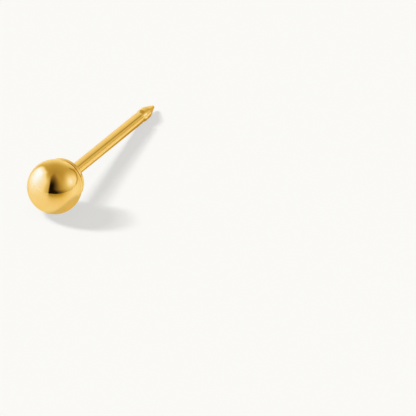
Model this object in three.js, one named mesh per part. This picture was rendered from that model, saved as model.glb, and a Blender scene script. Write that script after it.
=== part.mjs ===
// Ball stud earring: a polished ball on a straight post with a notched, pointed end.
// It lies on a flat surface as it rests by itself, on the ball and on the head of the post.
// Millimetres, +Z up. The post runs towards +Y, and the surface is the plane z = 0.
// Every piece is turned about the stud's axis. "Along" is the distance from the ball's centre
// along that axis, positive towards the point, and "radius" is the distance from the axis.
import * as THREE from "three";

// Ball
const ballDiameter = 3.0;
const ballBackAlong = 0.86; // where the back of the ball is cut flat

// Disc soldered to the post, which closes the ball's flat back
const discThickness = 0.25;
const discOverhang = 0.01; // how far its rim stands out past the edge of the ball's flat back

// Post, from the back of the disc to the end of its point
const postDiameter = 0.67;
const postLength = 11.3;
const solderFillet = 0.08; // radius of the solder where the post leaves the disc

// Spigot at the front of the disc, which holds the ball
const spigotDiameter = 0.8;
const spigotLength = 0.7;

// Head of the post: a collar and a cone, behind the notch that the clutch snaps into
const headDiameter = 0.71;
const headFrontDiameter = 0.68;
const collarLength = 0.57;
const pointLength = 0.98;
const pointEndDiameter = 0.08;
const notchWidth = 0.24;
const notchDiameter = 0.53;

// Clearances and broken edges
const seatGap = 0.02; // between the ball's flat back and the disc
const spigotSideGap = 0.01;
const spigotEndGap = 0.05;
const edgeBreak = 0.03;

// Faces of the turned pieces
const sidesAround = 40; // a multiple of 4, so that one side faces straight down
const ballFrontSides = 8; // sides of the ball's outline from its lowest point to its front
const filletSteps = 3;

// Gold finish
const goldColour = 0xe2b04a;
const ballRoughness = 0.08;
const postRoughness = 0.16;

// Sizes that follow from the ones above
const ballRadius = ballDiameter / 2;
const postRadius = postDiameter / 2;
const headRadius = headDiameter / 2;
const spigotRadius = spigotDiameter / 2;
const ballBackRadius = Math.sqrt(ballRadius ** 2 - ballBackAlong ** 2);
const discFrontAlong = ballBackAlong + seatGap;
const discBackAlong = discFrontAlong + discThickness;
const discRadius = ballBackRadius + discOverhang;
const tipAlong = discBackAlong + postLength;
const coneAlong = tipAlong - pointLength;
const headAlong = coneAlong - collarLength;
const notchAlong = headAlong - notchWidth;

const postOutline = outlineOfPost();
const restTilt = tiltAtRest(postOutline);
const ballOutline = outlineOfBall(restTilt);

// The spigot, disc, post and head as one outline of [radius, along], from the spigot's end to the point
function outlineOfPost() {
  const spigotEndAlong = discFrontAlong - spigotLength;
  const outline = [
    [0, spigotEndAlong],
    [spigotRadius - edgeBreak, spigotEndAlong],
    [spigotRadius, spigotEndAlong + edgeBreak],
    [spigotRadius, discFrontAlong],
    [discRadius - edgeBreak, discFrontAlong],
    [discRadius, discFrontAlong + edgeBreak],
    [discRadius, discBackAlong - edgeBreak],
    [discRadius - edgeBreak, discBackAlong],
  ];
  for (let step = 0; step <= filletSteps; step++) {
    const turn = ((Math.PI / 2) * step) / filletSteps;
    outline.push([
      postRadius + solderFillet * (1 - Math.sin(turn)),
      discBackAlong + solderFillet * (1 - Math.cos(turn)),
    ]);
  }
  outline.push(
    [postRadius, notchAlong - edgeBreak],
    [postRadius - edgeBreak, notchAlong],
    [notchDiameter / 2, notchAlong],
    [notchDiameter / 2, headAlong],
    [headRadius - edgeBreak, headAlong],
    [headRadius, headAlong + edgeBreak],
    [headFrontDiameter / 2, coneAlong],
    [pointEndDiameter / 2, tipAlong],
    [0, tipAlong],
  );
  return outline;
}

// How far the post slopes down when the ball and the first ring behind it to touch are on the surface
function tiltAtRest(outline) {
  const ringsBehindTheBall = outline.filter(([, along]) => along > ballBackAlong);
  const tilts = ringsBehindTheBall.map(
    ([radius, along]) =>
      Math.asin(Math.min(1, ballRadius / Math.hypot(radius, along))) - Math.atan2(radius, along),
  );
  return Math.min(...tilts);
}

// The ball as an outline of [radius, along], from its front to the floor of the hole for the spigot.
// Each side touches the true ball, and one touches it at the point that it rests on.
function outlineOfBall(tilt) {
  const lowestPointAngle = Math.PI / 2 - tilt; // seen from the ball's centre, from the post's direction
  const sideAngle = (Math.PI - lowestPointAngle) / ballFrontSides;
  const cornerRadius = ballRadius / Math.cos(sideAngle / 2);
  const flatAlong = ballBackAlong - edgeBreak;
  const outline = [[0, -ballRadius]];
  let angle = Math.PI - sideAngle / 2;
  while (cornerRadius * Math.cos(angle) < flatAlong) {
    outline.push([cornerRadius * Math.sin(angle), cornerRadius * Math.cos(angle)]);
    angle -= sideAngle;
  }
  const lastTouchAngle = angle + sideAngle / 2;
  const lastRadius =
    (ballRadius - flatAlong * Math.cos(lastTouchAngle)) / Math.sin(lastTouchAngle);
  const holeRadius = spigotRadius + spigotSideGap;
  const holeFloorAlong = discFrontAlong - spigotLength - spigotEndGap;
  outline.push(
    [lastRadius, flatAlong],
    [ballBackRadius - edgeBreak, ballBackAlong],
    [holeRadius, ballBackAlong],
    [holeRadius, holeFloorAlong],
    [0, holeFloorAlong],
  );
  return outline;
}

// Turns an outline about the stud's axis. The radii reach to the middle of each side.
function turned(name, outline, roughness) {
  const halfSide = Math.PI / sidesAround;
  const points = outline.map(
    ([radius, along]) => new THREE.Vector2(radius / Math.cos(halfSide), along),
  );
  const mesh = new THREE.Mesh(
    new THREE.LatheGeometry(points, sidesAround, halfSide),
    new THREE.MeshStandardMaterial({ color: goldColour, metalness: 1, roughness }),
  );
  mesh.name = name;
  return mesh;
}

// The stud, tilted to its rest and set over the middle of its length
const stud = new THREE.Group();
stud.add(turned("ball", ballOutline, ballRoughness));
stud.add(turned("post", postOutline, postRoughness));
stud.rotation.x = -restTilt;
const overallLength = ballRadius + tipAlong * Math.cos(restTilt);
stud.position.set(0, ballRadius - overallLength / 2, ballRadius);

const earring = new THREE.Group();
earring.add(stud);

export default earring;
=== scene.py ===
"""The looks of a gold ball stud earring that lies on a pale table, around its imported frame.

Lengths are metres. The stud lies in the frame's YZ plane, and its post runs towards +Y.
"""

import math

import bmesh
import bpy
from mathutils import Matrix, Vector


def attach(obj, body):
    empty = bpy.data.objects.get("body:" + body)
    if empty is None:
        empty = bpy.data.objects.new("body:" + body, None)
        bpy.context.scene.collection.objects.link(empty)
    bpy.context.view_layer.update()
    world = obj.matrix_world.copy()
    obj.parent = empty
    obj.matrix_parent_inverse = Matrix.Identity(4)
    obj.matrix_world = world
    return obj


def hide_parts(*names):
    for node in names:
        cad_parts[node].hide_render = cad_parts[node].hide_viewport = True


MM = 0.001

# The stud's sizes
BALL_RADIUS = 1.5 * MM
BALL_BACK_AS_BUILT = 0.86 * MM  # from the ball's centre to its flat back, along the stud
BALL_BACK = 0.875 * MM  # the same, drawn nearer to the disc so that the seam is thin
SEAT_GAP = 0.005 * MM
DISC_THICKNESS = 0.25 * MM
DISC_OVERHANG = 0.01 * MM
POST_RADIUS = 0.335 * MM
POST_LENGTH = 11.3 * MM
BLUNTING = 0.03 * MM  # how much of the post's length its blunt end takes off
SOLDER_FILLET = 0.05 * MM
SPIGOT_RADIUS = 0.4 * MM
SPIGOT_LENGTH = 0.7 * MM
SPIGOT_SIDE_GAP = 0.01 * MM
SPIGOT_END_GAP = 0.05 * MM
HEAD_RADIUS = 0.355 * MM
HEAD_FRONT_RADIUS = 0.34 * MM
COLLAR_LENGTH = 0.53 * MM
POINT_LENGTH = 0.95 * MM
POINT_END_RADIUS = 0.07 * MM
NOTCH_FLOOR_WIDTH = 0.25 * MM
NOTCH_SLOPE_LENGTH = 0.2 * MM
NOTCH_RADIUS = 0.265 * MM
EDGE_BREAK = 0.03 * MM
SEAM_BREAK = 0.015 * MM
COLLAR_ROUNDING = 0.1 * MM
CORNER_REACH = 0.04 * MM  # how far the roundness of a blunt corner reaches

# Faces of the turned pieces
SIDES_AROUND = 192
BALL_STEPS = 128
FILLET_STEPS = 8
EDGE_STEPS = 6
SEAM_STEPS = 4
COLLAR_STEPS = 4
SHARP_ANGLE = math.radians(20)

# The photograph's frame, in its own pixels
PHOTO_SIDE = 416
BALL_PIXEL = (54.6, 186.7)
BALL_RADIUS_PIXELS = 27.7

# The camera that sees the stud as the photograph does
CAMERA_AZIMUTH = math.radians(24.62)
CAMERA_ELEVATION = math.radians(30.62)
CAMERA_ROLL = math.radians(-1.72)
CAMERA_DISTANCE = 418 * MM
SENSOR_WIDTH = 36.0

# The lights as name, azimuth, elevation, width in degrees, strength and whether it casts a shadow.
# Directions are seen from the stud: azimuth 0 is towards the camera, and positive ones are to its right.
LIGHTS = (
    ("key", -104, 37, 8, 0.85, True),
    ("high_key", -107, 45, 13, 0.62, True),
    ("front", 0, 31, 10, 1.79, False),
    ("fill", 0, 80, 30, 1.43, False),
)
SOFT_LIGHT = 0.02  # the light from all round on what isn't polished

FLOOR_SIDE = 4.0
FLOOR_ROUGHNESS = 0.6
MIRRORED_ROUGHNESS = 0.25
FLOOR_COLOUR = (0.9, 0.893, 0.868, 1)
WALL_COLOUR = (0.956, 0.947, 0.913, 1)
# The colours and strength of the painted glow on the mirrored table: warm to the right and cold to the left
GLARE_WARM = (1, 0.98, 0.92, 1)
GLARE_COLD = (0.1, 0.27, 1, 1)
GLARE_STRENGTH = 0.3
# A painted glow that fills in the shadowed part of the table
SHADOW_FILL_GLOW_COLOUR = (0.8, 0.69, 0.38, 1)  # the shadowed part of the table, as polished metal mirrors it

# The painted shade of the mirrored table, as tints from its lightest places (0) to its darkest, most shadowed
# ones (1)
TABLE_SHADE_TINTS = (
    (0.0, (1, 1, 1)),
    (0.29, (1, 0.95, 0.85)),
    (0.55, (0.96, 0.88, 0.68)),
    (0.72, (0.91, 0.79, 0.41)),
    (0.9, (0.8, 0.61, 0.18)),
    (1.0, (0.72, 0.55, 0.17)),
)

# The light of the mirrored studio at each brightness: 0 is black, 1 a lit panel, 2 a lamp
STUDIO_TINTS = (
    (0.0, (0, 0, 0)),
    (0.25, (0.23, 0.16, 0.065)),
    (0.53, (0.55, 0.435, 0.16)),
    (0.8, (0.78, 0.71, 0.50)),
    (1.0, (0.99, 1.0, 1.06)),
    (1.5, (1.0, 1.2, 2.3)),
    (2.1, (1.02, 1.5, 4.3)),
)
TOP_BRIGHTNESS = 2.2
TOP_LIGHT = 4.3  # the largest number in those tints

# Gold: its colour, and the marks on its polish as how many there are in each millimetre and how strong
GOLD_COLOUR_DEEP = (0.955, 0.645, 0.205, 1)
GOLD_COLOUR_PALE = (0.965, 0.675, 0.225, 1)
GOLD_EDGE_TINT = (1, 0.87, 0.58, 1)
CLOUDS_PER_MM = 1.4
HAIRLINES_PER_MM = 1.3
HAIRLINE_STRETCH = 14.0
HAIRLINE_TURNS = ((0.3, 0.2, 0.5), (1.2, 0.9, 2.0), (2.3, 1.7, 0.9))
HAIRLINE_WIDTH = 0.012
HAIRLINE_ROUGHNESS = 0.05
HAIRLINE_DEPTH = 0.02
WORN_PATCHES_PER_MM = 0.9
POLISH_PATCHES_PER_MM = 3.1
POLISH_FINE = 0.035
POLISH_COARSE = 0.055
TURNING_LINES_PER_MM = 28.0
WAVES_PER_MM = 1.1
WAVE_HEIGHT = 0.3
BALL_LINE_HEIGHT = 0.02
POST_LINE_HEIGHT = 0.15
BUMP_STRENGTH = 0.05
BUMP_DISTANCE = 0.01 * MM

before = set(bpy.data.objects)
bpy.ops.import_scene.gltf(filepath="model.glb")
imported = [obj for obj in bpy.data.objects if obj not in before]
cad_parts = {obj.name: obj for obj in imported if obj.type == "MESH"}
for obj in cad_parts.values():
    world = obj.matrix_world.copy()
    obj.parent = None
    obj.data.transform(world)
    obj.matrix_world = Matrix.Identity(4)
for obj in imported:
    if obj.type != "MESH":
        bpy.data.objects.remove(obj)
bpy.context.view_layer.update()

disc_front = BALL_BACK + SEAT_GAP
disc_back = disc_front + DISC_THICKNESS
full_tip = disc_back + POST_LENGTH
tip = full_tip - BLUNTING
cone_start = tip - POINT_LENGTH
head_start = cone_start - COLLAR_LENGTH
slope_start = head_start - NOTCH_SLOPE_LENGTH
notch_start = slope_start - NOTCH_FLOOR_WIDTH
ball_back_radius = math.sqrt(BALL_RADIUS**2 - BALL_BACK_AS_BUILT**2)
disc_radius = ball_back_radius + DISC_OVERHANG

# The stud rests on the ball and on the ring where its collar meets its cone
tilt = math.asin(BALL_RADIUS / math.hypot(HEAD_FRONT_RADIUS, cone_start)) - math.atan2(
    HEAD_FRONT_RADIUS, cone_start
)
axis = Vector((0, math.cos(tilt), -math.sin(tilt)))
across = Vector((1, 0, 0))
upward = Vector((0, math.sin(tilt), math.cos(tilt)))
overall_length = BALL_RADIUS + full_tip * math.cos(tilt)
ball_centre = Vector((0, BALL_RADIUS - overall_length / 2, BALL_RADIUS))


def arc(centre_radius, centre_along, radius, start, end, steps):
    """Points of an arc in an outline, whose angles are degrees from straight out, positive along the stud."""
    angles = [math.radians(start + (end - start) * i / steps) for i in range(steps + 1)]
    return [(centre_radius + radius * math.cos(a), centre_along + radius * math.sin(a)) for a in angles]


def turned(name, outline):
    """A smooth solid of revolution about the stud's axis, from an outline of (radius, along)."""
    mesh = bmesh.new()
    rings = []
    for radius, along in outline:
        centre = ball_centre + axis * along
        if radius == 0:
            rings.append([mesh.verts.new(centre)])
            continue
        ring = []
        for i in range(SIDES_AROUND):
            turn = 2 * math.pi * i / SIDES_AROUND
            outward = across * math.sin(turn) + upward * math.cos(turn)
            ring.append(mesh.verts.new(centre + outward * radius))
        rings.append(ring)
    for low, high in zip(rings, rings[1:]):
        for i in range(SIDES_AROUND):
            j = (i + 1) % SIDES_AROUND
            corners = [low[i % len(low)], low[j % len(low)], high[j % len(high)], high[i % len(high)]]
            mesh.faces.new(list(dict.fromkeys(corners)))
    bmesh.ops.recalc_face_normals(mesh, faces=mesh.faces)
    for face in mesh.faces:
        face.smooth = True
    data = bpy.data.meshes.new(name)
    mesh.to_mesh(data)
    mesh.free()
    piece = bpy.data.objects.new(name, data)
    bpy.context.scene.collection.objects.link(piece)
    data.set_sharp_from_angle(angle=SHARP_ANGLE)
    return piece


def ball_outline():
    hole_radius = SPIGOT_RADIUS + SPIGOT_SIDE_GAP
    hole_floor = disc_front - SPIGOT_LENGTH - SPIGOT_END_GAP
    back_angle = math.degrees(math.asin((BALL_BACK - SEAM_BREAK) / BALL_RADIUS))
    points = arc(0, 0, BALL_RADIUS, -90, back_angle, BALL_STEPS)
    points[0] = (0, -BALL_RADIUS)
    points += arc(points[-1][0] - SEAM_BREAK, BALL_BACK - SEAM_BREAK, SEAM_BREAK, 30, 90, SEAM_STEPS)
    points += [(hole_radius, BALL_BACK), (hole_radius, hole_floor), (0, hole_floor)]
    return points


def post_outline():
    spigot_end = disc_front - SPIGOT_LENGTH
    rim = disc_radius - EDGE_BREAK
    seam_rim = disc_radius - SEAM_BREAK
    points = [(0, spigot_end)]
    points += arc(SPIGOT_RADIUS - EDGE_BREAK, spigot_end + EDGE_BREAK, EDGE_BREAK, -90, 0, EDGE_STEPS)
    points += [(SPIGOT_RADIUS, disc_front)]
    points += arc(seam_rim, disc_front + SEAM_BREAK, SEAM_BREAK, -90, 0, EDGE_STEPS)
    points += arc(rim, disc_back - EDGE_BREAK, EDGE_BREAK, 0, 90, EDGE_STEPS)
    fillet_radius = POST_RADIUS + SOLDER_FILLET
    fillet_along = disc_back + SOLDER_FILLET
    points += arc(fillet_radius, fillet_along, SOLDER_FILLET, 270, 180, FILLET_STEPS)
    points += arc(POST_RADIUS - EDGE_BREAK, notch_start - EDGE_BREAK, EDGE_BREAK, 0, 90, EDGE_STEPS)
    points += [(NOTCH_RADIUS, notch_start), (NOTCH_RADIUS, slope_start)]
    slope = math.atan2(HEAD_RADIUS - NOTCH_RADIUS, NOTCH_SLOPE_LENGTH)
    collar_radius = HEAD_RADIUS - COLLAR_ROUNDING
    collar_along = head_start + COLLAR_ROUNDING * math.tan(slope / 2)
    points += arc(collar_radius, collar_along, COLLAR_ROUNDING, -math.degrees(slope), 0, COLLAR_STEPS)
    taper = (HEAD_RADIUS - HEAD_FRONT_RADIUS) / COLLAR_LENGTH
    cone = (HEAD_FRONT_RADIUS - POINT_END_RADIUS) / POINT_LENGTH
    points += [(HEAD_FRONT_RADIUS + taper * CORNER_REACH, cone_start - CORNER_REACH)]
    points += [(HEAD_FRONT_RADIUS, cone_start)]
    points += [(HEAD_FRONT_RADIUS - cone * CORNER_REACH, cone_start + CORNER_REACH)]
    points += [(POINT_END_RADIUS + cone * CORNER_REACH, tip - CORNER_REACH)]
    points += [(POINT_END_RADIUS, tip - POINT_END_RADIUS / 2), (POINT_END_RADIUS / 2, tip), (0, tip)]
    return points


class Nodes:
    """Short ways to write a node tree's arithmetic."""

    def __init__(self, tree):
        self.tree = tree

    def new(self, kind, **settings):
        node = self.tree.nodes.new(kind)
        for key, value in settings.items():
            setattr(node, key, value)
        return node

    def put(self, value, socket):
        if isinstance(value, bpy.types.NodeSocket):
            self.tree.links.new(value, socket)
        else:
            socket.default_value = value

    def math(self, operation, *values):
        node = self.new("ShaderNodeMath", operation=operation)
        for value, socket in zip(values, node.inputs):
            self.put(value, socket)
        return node.outputs[0]

    def add(self, a, b):
        return self.math("ADD", a, b)

    def sub(self, a, b):
        return self.math("SUBTRACT", a, b)

    def mul(self, a, b):
        return self.math("MULTIPLY", a, b)

    def mix(self, a, b, share):
        """Goes from a where share is 0 to b where it is 1."""
        return self.add(a, self.mul(self.sub(b, a), share))

    def from_ball(self):
        """Where a surface's point is, seen from the ball's centre."""
        place = self.new("ShaderNodeVectorMath", operation="SUBTRACT")
        self.put(self.new("ShaderNodeTexCoord").outputs["Object"], place.inputs[0])
        self.put(tuple(ball_centre), place.inputs[1])
        return place.outputs[0]

    def glow(self, azimuth, elevation, at_azimuth, at_elevation, reach, strength):
        """A glow that is strongest in one direction and ends at a reach in degrees, less far up and down."""
        level = math.cos(math.radians(at_elevation))
        aside = self.mul(self.sub(azimuth, at_azimuth), level)
        raised = self.mul(self.sub(elevation, at_elevation), 1.25)
        far = self.math("SQRT", self.add(self.mul(aside, aside), self.mul(raised, raised)))
        return self.smooth(far, reach, 0.0, 0.0, strength)

    def directions(self, vector):
        """A vector's azimuth, 0 towards the camera and positive to its right, and elevation, in degrees."""
        turn = self.new("ShaderNodeVectorRotate", rotation_type="Z_AXIS")
        self.put(vector, turn.inputs["Vector"])
        self.put(-CAMERA_AZIMUTH, turn.inputs["Angle"])
        parts = self.new("ShaderNodeSeparateXYZ")
        self.put(turn.outputs[0], parts.inputs[0])
        right, away, up = parts.outputs
        level = self.math("SQRT", self.add(self.mul(right, right), self.mul(away, away)))
        azimuth = self.math("DEGREES", self.math("ARCTAN2", right, self.mul(away, -1.0)))
        return azimuth, self.math("DEGREES", self.math("ARCTAN2", up, level))

    def set_ramp(self, ramp, stops):
        """Sets a colour ramp's stops as (place, colour)."""
        elements = ramp.color_ramp.elements
        while len(elements) < len(stops):
            elements.new(0.5)
        for element, (place, colour) in zip(elements, stops):
            element.position = place
            element.color = [*colour, 1]

    def smooth(self, value, start, end, low=0.0, high=1.0):
        """Goes smoothly from low at start to high at end."""
        node = self.new("ShaderNodeMapRange", interpolation_type="SMOOTHSTEP")
        for item, socket in zip((value, start, end, low, high), node.inputs):
            self.put(item, socket)
        return node.outputs[0]

    def mix_shader(self, share, first, second):
        """Goes from the first shader, or none, where share is 0 to the second where it is 1."""
        node = self.new("ShaderNodeMixShader")
        self.put(share, node.inputs[0])
        if first is not None:
            self.put(first, node.inputs[1])
        self.put(second, node.inputs[2])
        return node.outputs[0]

    def background(self, colour, strength=1.0):
        node = self.new("ShaderNodeBackground")
        self.put(colour, node.inputs[0])
        self.put(strength, node.inputs[1])
        return node.outputs[0]

    def line(self, value, start, end, low=0.0, high=1.0):
        """Goes straight from low at start to high at end, and stays there."""
        node = self.new("ShaderNodeMapRange", interpolation_type="LINEAR", clamp=True)
        for item, socket in zip((value, start, end, low, high), node.inputs):
            self.put(item, socket)
        return node.outputs[0]

    def noise(self, place, per_mm, detail):
        """Noise around 0.5 that varies about so many times in each millimetre."""
        node = self.new("ShaderNodeTexNoise")
        self.put(place, node.inputs["Vector"])
        self.put(per_mm / MM, node.inputs["Scale"])
        self.put(detail, node.inputs["Detail"])
        return node.outputs[0]


def gold(name, line_height):
    """Polished gold: faint clouds in its colour and polish, hairlines, and lines left by turning."""
    material = bpy.data.materials.new(name)
    material.use_nodes = True
    n = Nodes(material.node_tree)
    shader = material.node_tree.nodes["Principled BSDF"]
    shader.inputs["Metallic"].default_value = 1
    shader.inputs["Specular Tint"].default_value = GOLD_EDGE_TINT
    place = n.from_ball()

    clouds = n.noise(place, CLOUDS_PER_MM, 3.0)
    colour = n.new("ShaderNodeMix", data_type="RGBA")
    n.put(n.smooth(clouds, 0.35, 0.65), colour.inputs["Factor"])
    n.put(GOLD_COLOUR_DEEP, colour.inputs[6])
    n.put(GOLD_COLOUR_PALE, colour.inputs[7])
    n.put(colour.outputs[2], shader.inputs["Base Color"])

    # Hairlines run every way: each is a thin ridge of a stretched noise
    hairlines = 0.0
    for turn in HAIRLINE_TURNS:
        stretched = n.new("ShaderNodeMapping")
        n.put(place, stretched.inputs["Vector"])
        n.put(turn, stretched.inputs["Rotation"])
        n.put((1.0, HAIRLINE_STRETCH, HAIRLINE_STRETCH), stretched.inputs["Scale"])
        ridge = n.math("ABSOLUTE", n.sub(n.noise(stretched.outputs[0], HAIRLINES_PER_MM, 2.0), 0.5))
        hairlines = n.math("MAXIMUM", hairlines, n.smooth(ridge, HAIRLINE_WIDTH, 0.0))
    worn = n.smooth(n.noise(place, WORN_PATCHES_PER_MM, 2.0), 0.45, 0.7)
    patches = n.smooth(n.noise(place, POLISH_PATCHES_PER_MM, 4.0), 0.3, 0.7)
    polish = n.mix(POLISH_FINE, POLISH_COARSE, patches)
    scratched = n.mul(n.mul(hairlines, worn), HAIRLINE_ROUGHNESS)
    n.put(n.add(polish, scratched), shader.inputs["Roughness"])

    # The lines go round the stud, so they change only along its axis
    along = n.new("ShaderNodeVectorMath", operation="DOT_PRODUCT")
    n.put(place, along.inputs[0])
    n.put(tuple(axis), along.inputs[1])
    spot = n.new("ShaderNodeCombineXYZ")
    n.put(along.outputs["Value"], spot.inputs[0])
    lines = n.noise(spot.outputs[0], TURNING_LINES_PER_MM, 2.0)
    waves = n.noise(place, WAVES_PER_MM, 1.0)
    height = n.add(n.mul(lines, line_height), n.mul(waves, WAVE_HEIGHT))
    height = n.sub(height, n.mul(n.mul(hairlines, worn), HAIRLINE_DEPTH))
    bump = n.new("ShaderNodeBump")
    n.put(BUMP_STRENGTH, bump.inputs["Strength"])
    n.put(BUMP_DISTANCE, bump.inputs["Distance"])
    n.put(height, bump.inputs["Height"])
    n.put(bump.outputs[0], shader.inputs["Normal"])
    return material


def mirrored_table(n):
    """The table as polished metal mirrors it, with painted shade where it is darker and painted light where
    it glows.

    The zones are given by directions from the ball, in degrees, or by places in millimetres.
    """
    shader = n.new("ShaderNodeBsdfPrincipled")
    shader.inputs["Roughness"].default_value = MIRRORED_ROUGHNESS
    place = n.from_ball()
    azimuth, elevation = n.directions(place)

    # Painted shade: it is darker in front, where the room behind the camera is unlit, and a darker line is
    # painted along its far edge
    edge_width = n.line(elevation, -3.0, -20.0, 6.0, 30.0)
    past_edge = n.math("DIVIDE", n.add(azimuth, 24.0), edge_width)
    painted_shade = n.mul(n.smooth(past_edge, -1.0, 1.0), n.smooth(azimuth, 88.0, 22.0))
    painted_shade = n.mul(painted_shade, n.line(elevation, -40.0, -3.0))
    far_edge = n.mul(n.smooth(elevation, -5.5, -1.5), n.smooth(azimuth, 96.0, 110.0))
    painted_shade = n.math("MAXIMUM", painted_shade, n.mul(n.mul(far_edge, n.smooth(azimuth, 166.0, 150.0)), 0.9))

    # Painted shade: it is darkest beneath the post, where shade falls on the table. Places are taken along
    # the line that the post's axis draws on the table, from the ball, and across that line to the right.
    spot = n.new("ShaderNodeSeparateXYZ")
    n.put(place, spot.inputs[0])
    beside, along = n.mul(spot.outputs[0], 1 / MM), n.mul(spot.outputs[1], 1 / MM)
    shade_under_post = n.mul(n.smooth(n.math("ABSOLUTE", beside), 1.15, 0.6), n.smooth(along, 0.8, 1.8))
    painted_shade = n.math("MAXIMUM", painted_shade, shade_under_post)
    # Painted shadow: the table is darker and warmer to the right, where the lamps' shadows fall, as it is
    # mirrored
    painted_shadow_zone = n.mul(n.smooth(azimuth, -5.0, 55.0), n.smooth(elevation, -22.0, -50.0))
    painted_shade = n.math("MAXIMUM", painted_shade, n.mul(painted_shadow_zone, 0.62))
    # The mirrored table is painted in these tints, darker where the painted shade is deepest
    ramp = n.new("ShaderNodeValToRGB")
    n.put(painted_shade, ramp.inputs[0])
    n.set_ramp(ramp, [(at, [a * b for a, b in zip(tint, FLOOR_COLOUR)]) for at, tint in TABLE_SHADE_TINTS])
    n.put(ramp.outputs[0], shader.inputs["Base Color"])

    # Painted light: a line of the table that the post mirrors is made to glow and stay lit where the key
    # light's shadow falls
    shadow = n.math("ABSOLUTE", n.sub(beside, n.line(along, 0.0, 12.0, 1.9, 0.45)))
    painted_light_line = n.mul(n.smooth(shadow, 0.8, 0.3), n.smooth(along, 2.0, 3.0))
    painted_light_line = n.mul(painted_light_line, n.sub(1.0, shade_under_post))

    # Painted reflection: the far table on the left glows, as if the softbox glared on it
    painted_glare = n.mul(n.smooth(azimuth, -45.0, -85.0), n.smooth(elevation, -24.0, -2.0))
    emission = n.new("ShaderNodeMix", data_type="RGBA")
    n.put(n.smooth(azimuth, 0.0, -10.0), emission.inputs["Factor"])
    n.put(GLARE_WARM, emission.inputs[6])
    n.put(GLARE_COLD, emission.inputs[7])
    n.put(emission.outputs[2], shader.inputs["Emission Color"])
    glow = n.mul(n.math("MAXIMUM", painted_light_line, painted_glare), GLARE_STRENGTH)
    n.put(glow, shader.inputs["Emission Strength"])

    # Painted light: a warm glow fills in the shadowed part of the table, so that it is mirrored almost evenly
    shadow_fill_glow = n.new("ShaderNodeEmission")
    n.put(SHADOW_FILL_GLOW_COLOUR, shadow_fill_glow.inputs["Color"])
    share = n.mul(n.smooth(azimuth, 0.0, 65.0), n.smooth(elevation, -18.0, -45.0))
    return n.mix_shader(n.mul(share, 0.8), shader.outputs[0], shadow_fill_glow.outputs[0])


def pale_floor():
    """The table: plain and pale, but for the painted light and shade that polished metal mirrors of it."""
    side = FLOOR_SIDE / 2
    corners = [(-side, -side, 0), (side, -side, 0), (side, side, 0), (-side, side, 0)]
    mesh = bpy.data.meshes.new("floor")
    mesh.from_pydata(corners, [], [(0, 1, 2, 3)])
    floor = bpy.data.objects.new("floor", mesh)
    bpy.context.scene.collection.objects.link(floor)
    material = bpy.data.materials.new("pale_floor")
    material.use_nodes = True
    n = Nodes(material.node_tree)
    plain = material.node_tree.nodes["Principled BSDF"]
    plain.inputs["Base Color"].default_value = FLOOR_COLOUR
    plain.inputs["Roughness"].default_value = FLOOR_ROUGHNESS
    plain.inputs["Specular IOR Level"].default_value = 0

    # A mirror ray that follows a diffuse bounce sees black, so the gold throws no warm light on the table
    path = n.new("ShaderNodeLightPath")
    straight = n.math("LESS_THAN", path.outputs["Diffuse Depth"], 0.5)
    mirrored = n.mix_shader(straight, None, mirrored_table(n))
    both = n.mix_shader(path.outputs["Is Glossy Ray"], plain.outputs[0], mirrored)
    n.put(both, material.node_tree.nodes["Material Output"].inputs[0])
    mesh.materials.append(material)


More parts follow.
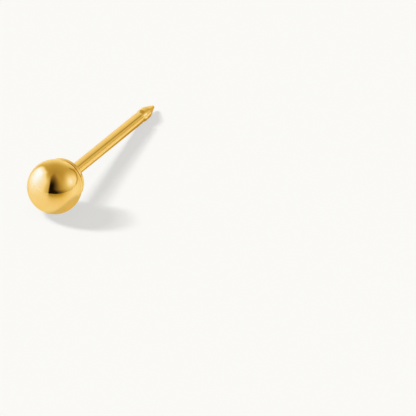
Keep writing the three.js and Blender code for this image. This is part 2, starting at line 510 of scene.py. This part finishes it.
def studio_brightness(n):
    """How bright the studio is in each direction seen from the stud: 0 is black, 1 a lit panel, 2 a lamp.

    Directions, widths and reaches are in degrees.
    """
    azimuth, elevation = n.directions(n.new("ShaderNodeTexCoord").outputs["Generated"])

    # The dark room in front. Its left edge is sharp low down, it fades to the right, and the
    # ceiling over it is a little lighter.
    high_up = n.math("MAXIMUM", n.sub(elevation, 20.0), 0.0)
    edge_width = n.add(7.0, n.mul(n.mul(high_up, high_up), 0.0125))
    past_edge = n.math("DIVIDE", n.sub(-21.0, azimuth), edge_width)
    left_of_dark = n.smooth(past_edge, 0.0, 1.0)
    low_shift = n.smooth(elevation, 20.0, 4.0, 0.0, 16.0)
    right_of_dark = n.smooth(n.sub(azimuth, low_shift), -10.0, 48.0)
    room = n.mul(n.math("MAXIMUM", left_of_dark, right_of_dark), 0.56)
    brightness = n.mix(n.add(room, 0.01), 0.42, n.smooth(elevation, 35.0, 100.0))

    # The pale backdrop behind
    behind = n.sub(180.0, n.math("ABSOLUTE", n.sub(180.0, n.math("ABSOLUTE", n.sub(azimuth, 178.0)))))
    backdrop = n.mul(n.smooth(behind, 45.0, 10.0), n.smooth(elevation, 50.0, 8.0))
    brightness = n.mix(brightness, 0.95, backdrop)

    # The softbox on the left, which is brightest at its far end
    sweep = n.line(azimuth, -20.0, -110.0, 0.5, 2.1)
    low_down = n.mul(n.line(elevation, 20.0, 0.0, 0.0, 0.2), n.line(azimuth, -50.0, -110.0))
    sweep = n.mul(sweep, n.sub(1.0, low_down))
    beyond = n.math("MAXIMUM", n.sub(-100.0, azimuth), 0.0)
    top = n.sub(53.0, n.mul(n.mul(beyond, beyond), 0.0135))
    box = n.smooth(n.sub(elevation, top), 18.0, -18.0)
    box = n.mul(n.mul(box, left_of_dark), n.smooth(azimuth, -153.0, -139.0))
    box = n.mul(box, n.smooth(azimuth, -17.0, -19.0))
    brightness = n.mix(brightness, sweep, box)

    # The lamp on the right with its glow, and a paler patch beyond it
    brightness = n.add(brightness, n.glow(azimuth, elevation, 88.0, 24.0, 50.0, 0.55))
    brightness = n.add(brightness, n.glow(azimuth, elevation, 88.0, 24.0, 18.0, 0.45))
    brightness = n.add(brightness, n.glow(azimuth, elevation, 116.0, 5.0, 36.0, 0.33))

    # A thin dark edge between that patch and the backdrop
    strip = n.smooth(n.math("ABSOLUTE", n.sub(azimuth, 145.0)), 5.0, 1.5)
    strip = n.mul(strip, n.smooth(n.math("ABSOLUTE", n.sub(elevation, 11.0)), 15.0, 7.0))
    brightness = n.mul(brightness, n.sub(1.0, n.mul(strip, 0.5)))

    # The far edge of the table shows as a darker line at the back
    horizon = n.mul(n.smooth(elevation, 5.0, 1.0), n.smooth(azimuth, 96.0, 110.0))
    return n.mul(brightness, n.sub(1.0, n.mul(n.mul(horizon, n.smooth(azimuth, 166.0, 150.0)), 0.5)))


def studio_light():
    """The surroundings: what polished metal mirrors, and the soft light that falls on the rest."""
    world = bpy.data.worlds.new("studio")
    bpy.context.scene.world = world
    world.use_nodes = True
    world.cycles.sampling_method = "NONE"
    world.node_tree.nodes.clear()
    n = Nodes(world.node_tree)
    ramp = n.new("ShaderNodeValToRGB")
    n.put(n.mul(studio_brightness(n), 1 / TOP_BRIGHTNESS), ramp.inputs[0])
    n.set_ramp(ramp, [(at / TOP_BRIGHTNESS, [c / TOP_LIGHT for c in tint]) for at, tint in STUDIO_TINTS])
    mirrored = n.background(ramp.outputs[0], TOP_LIGHT)
    soft = n.background((SOFT_LIGHT, SOFT_LIGHT, SOFT_LIGHT, 1))
    wall = n.background(WALL_COLOUR)
    path = n.new("ShaderNodeLightPath")
    plain = n.mix_shader(path.outputs["Is Camera Ray"], soft, wall)
    straight = n.math("LESS_THAN", path.outputs["Diffuse Depth"], 0.5)
    share = n.mul(path.outputs["Is Glossy Ray"], straight)
    output = n.new("ShaderNodeOutputWorld")
    n.put(n.mix_shader(share, plain, mirrored), output.inputs[0])

    for name, azimuth, elevation, angle, strength, casts_shadow in LIGHTS:
        lamp = bpy.data.lights.new(name, "SUN")
        lamp.energy = strength
        lamp.angle = math.radians(angle)
        lamp.use_shadow = casts_shadow
        light = bpy.data.objects.new(name, lamp)
        bpy.context.scene.collection.objects.link(light)
        light.visible_glossy = False
        turn = CAMERA_AZIMUTH + math.radians(azimuth - 90)
        level = Vector((math.cos(turn), math.sin(turn), 0))
        rise = math.radians(elevation)
        direction = level * math.cos(rise) + Vector((0, 0, math.sin(rise)))
        light.rotation_mode = "QUATERNION"
        light.rotation_quaternion = direction.to_track_quat("Z", "Y")


def photo_camera():
    """A camera that puts the ball at the photograph's own pixels."""
    azimuth, elevation, roll = CAMERA_AZIMUTH, CAMERA_ELEVATION, CAMERA_ROLL
    back = Vector(
        (
            math.sin(azimuth) * math.cos(elevation),
            -math.cos(azimuth) * math.cos(elevation),
            math.sin(elevation),
        )
    )
    level_right = Vector((math.cos(azimuth), math.sin(azimuth), 0))
    level_up = back.cross(level_right)
    right = level_right * math.cos(roll) - level_up * math.sin(roll)
    up = level_right * math.sin(roll) + level_up * math.cos(roll)
    focal_pixels = BALL_RADIUS_PIXELS * math.sqrt(CAMERA_DISTANCE**2 - BALL_RADIUS**2) / BALL_RADIUS
    centre = PHOTO_SIDE / 2
    aside = (BALL_PIXEL[0] - centre) / focal_pixels * CAMERA_DISTANCE
    raised = (centre - BALL_PIXEL[1]) / focal_pixels * CAMERA_DISTANCE
    data = bpy.data.cameras.new("camera")
    data.sensor_width = SENSOR_WIDTH
    data.lens = focal_pixels / PHOTO_SIDE * SENSOR_WIDTH
    data.clip_start = CAMERA_DISTANCE / 10
    data.clip_end = CAMERA_DISTANCE * 20
    camera = bpy.data.objects.new("camera", data)
    bpy.context.scene.collection.objects.link(camera)
    turn = Matrix((right, up, back)).transposed().to_4x4()
    camera.matrix_world = Matrix.Translation(
        ball_centre - right * aside - up * raised + back * CAMERA_DISTANCE
    ) @ turn
    bpy.context.scene.camera = camera


ball = turned("gold_ball", ball_outline())
ball.data.materials.append(gold("ball_gold", BALL_LINE_HEIGHT))
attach(ball, "root")
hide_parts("ball")

post = turned("gold_post", post_outline())
post.data.materials.append(gold("post_gold", POST_LINE_HEIGHT))
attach(post, "root")
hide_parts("post")

pale_floor()
studio_light()
photo_camera()
bpy.context.scene.view_settings.view_transform = "Standard"
